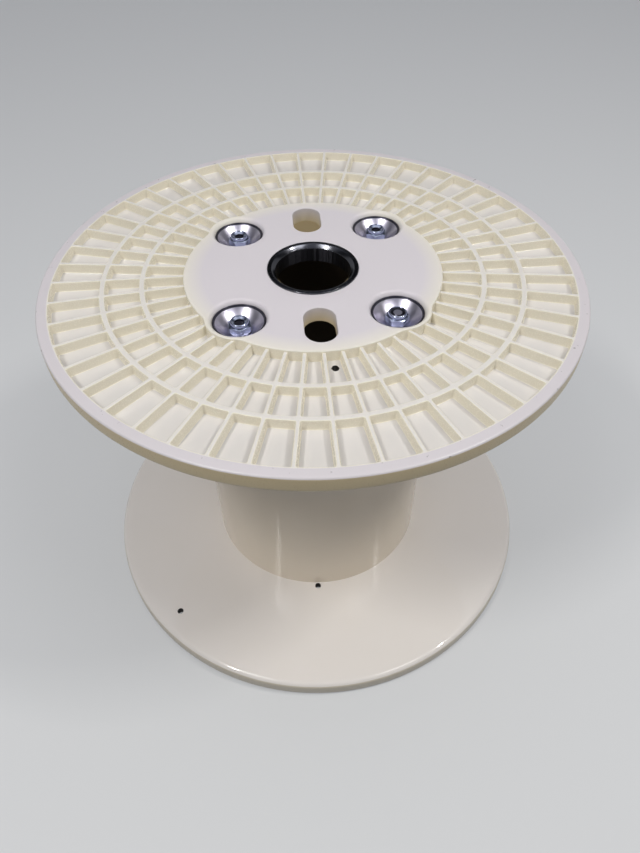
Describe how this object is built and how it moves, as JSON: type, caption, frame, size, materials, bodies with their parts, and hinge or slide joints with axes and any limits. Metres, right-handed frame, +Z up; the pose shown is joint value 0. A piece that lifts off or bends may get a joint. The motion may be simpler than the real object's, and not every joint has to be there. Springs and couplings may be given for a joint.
{
  "type": "plastic cable drum",
  "caption": "Empty flanged cable drum in moulded plastic: ribbed flanges on a plain barrel, steel centre bushes, and tie rods with dished washers and hexagon nuts.",
  "frame": {"origin": "centre of the lower bush, on the floor", "axes": "+Z up along the drum axis; the two drive slots of each flange lie on the Y axis, so the picture looks along +Y"},
  "size_m": [0.5, 0.5, 0.377],
  "materials": {
    "ivory_plastic": "moulded ivory ABS, semi-gloss",
    "black_steel": "black oxide steel, semi-gloss",
    "zinc_washer": "pressed, bright zinc",
    "zinc_nut": "bluish zinc plate",
    "rod_steel": "zinc-plated threaded rod"
  },
  "bodies": {
    "root": {"upper_flange": "ivory_plastic", "lower_flange": "ivory_plastic", "barrel": "ivory_plastic", "upper_bush": "black_steel", "lower_bush": "black_steel", "tie_rod_1": "rod_steel", "upper_cup_washer_1": "zinc_washer", "upper_nut_1": "zinc_nut", "lower_cup_washer_1": "zinc_washer", "lower_nut_1": "zinc_nut", "tie_rod_2": "rod_steel", "upper_cup_washer_2": "zinc_washer", "upper_nut_2": "zinc_nut", "lower_cup_washer_2": "zinc_washer", "lower_nut_2": "zinc_nut", "tie_rod_3": "rod_steel", "upper_cup_washer_3": "zinc_washer", "upper_nut_3": "zinc_nut", "lower_cup_washer_3": "zinc_washer", "lower_nut_3": "zinc_nut", "tie_rod_4": "rod_steel", "upper_cup_washer_4": "zinc_washer", "upper_nut_4": "zinc_nut", "lower_cup_washer_4": "zinc_washer", "lower_nut_4": "zinc_nut"}
  },
  "joints": []
}
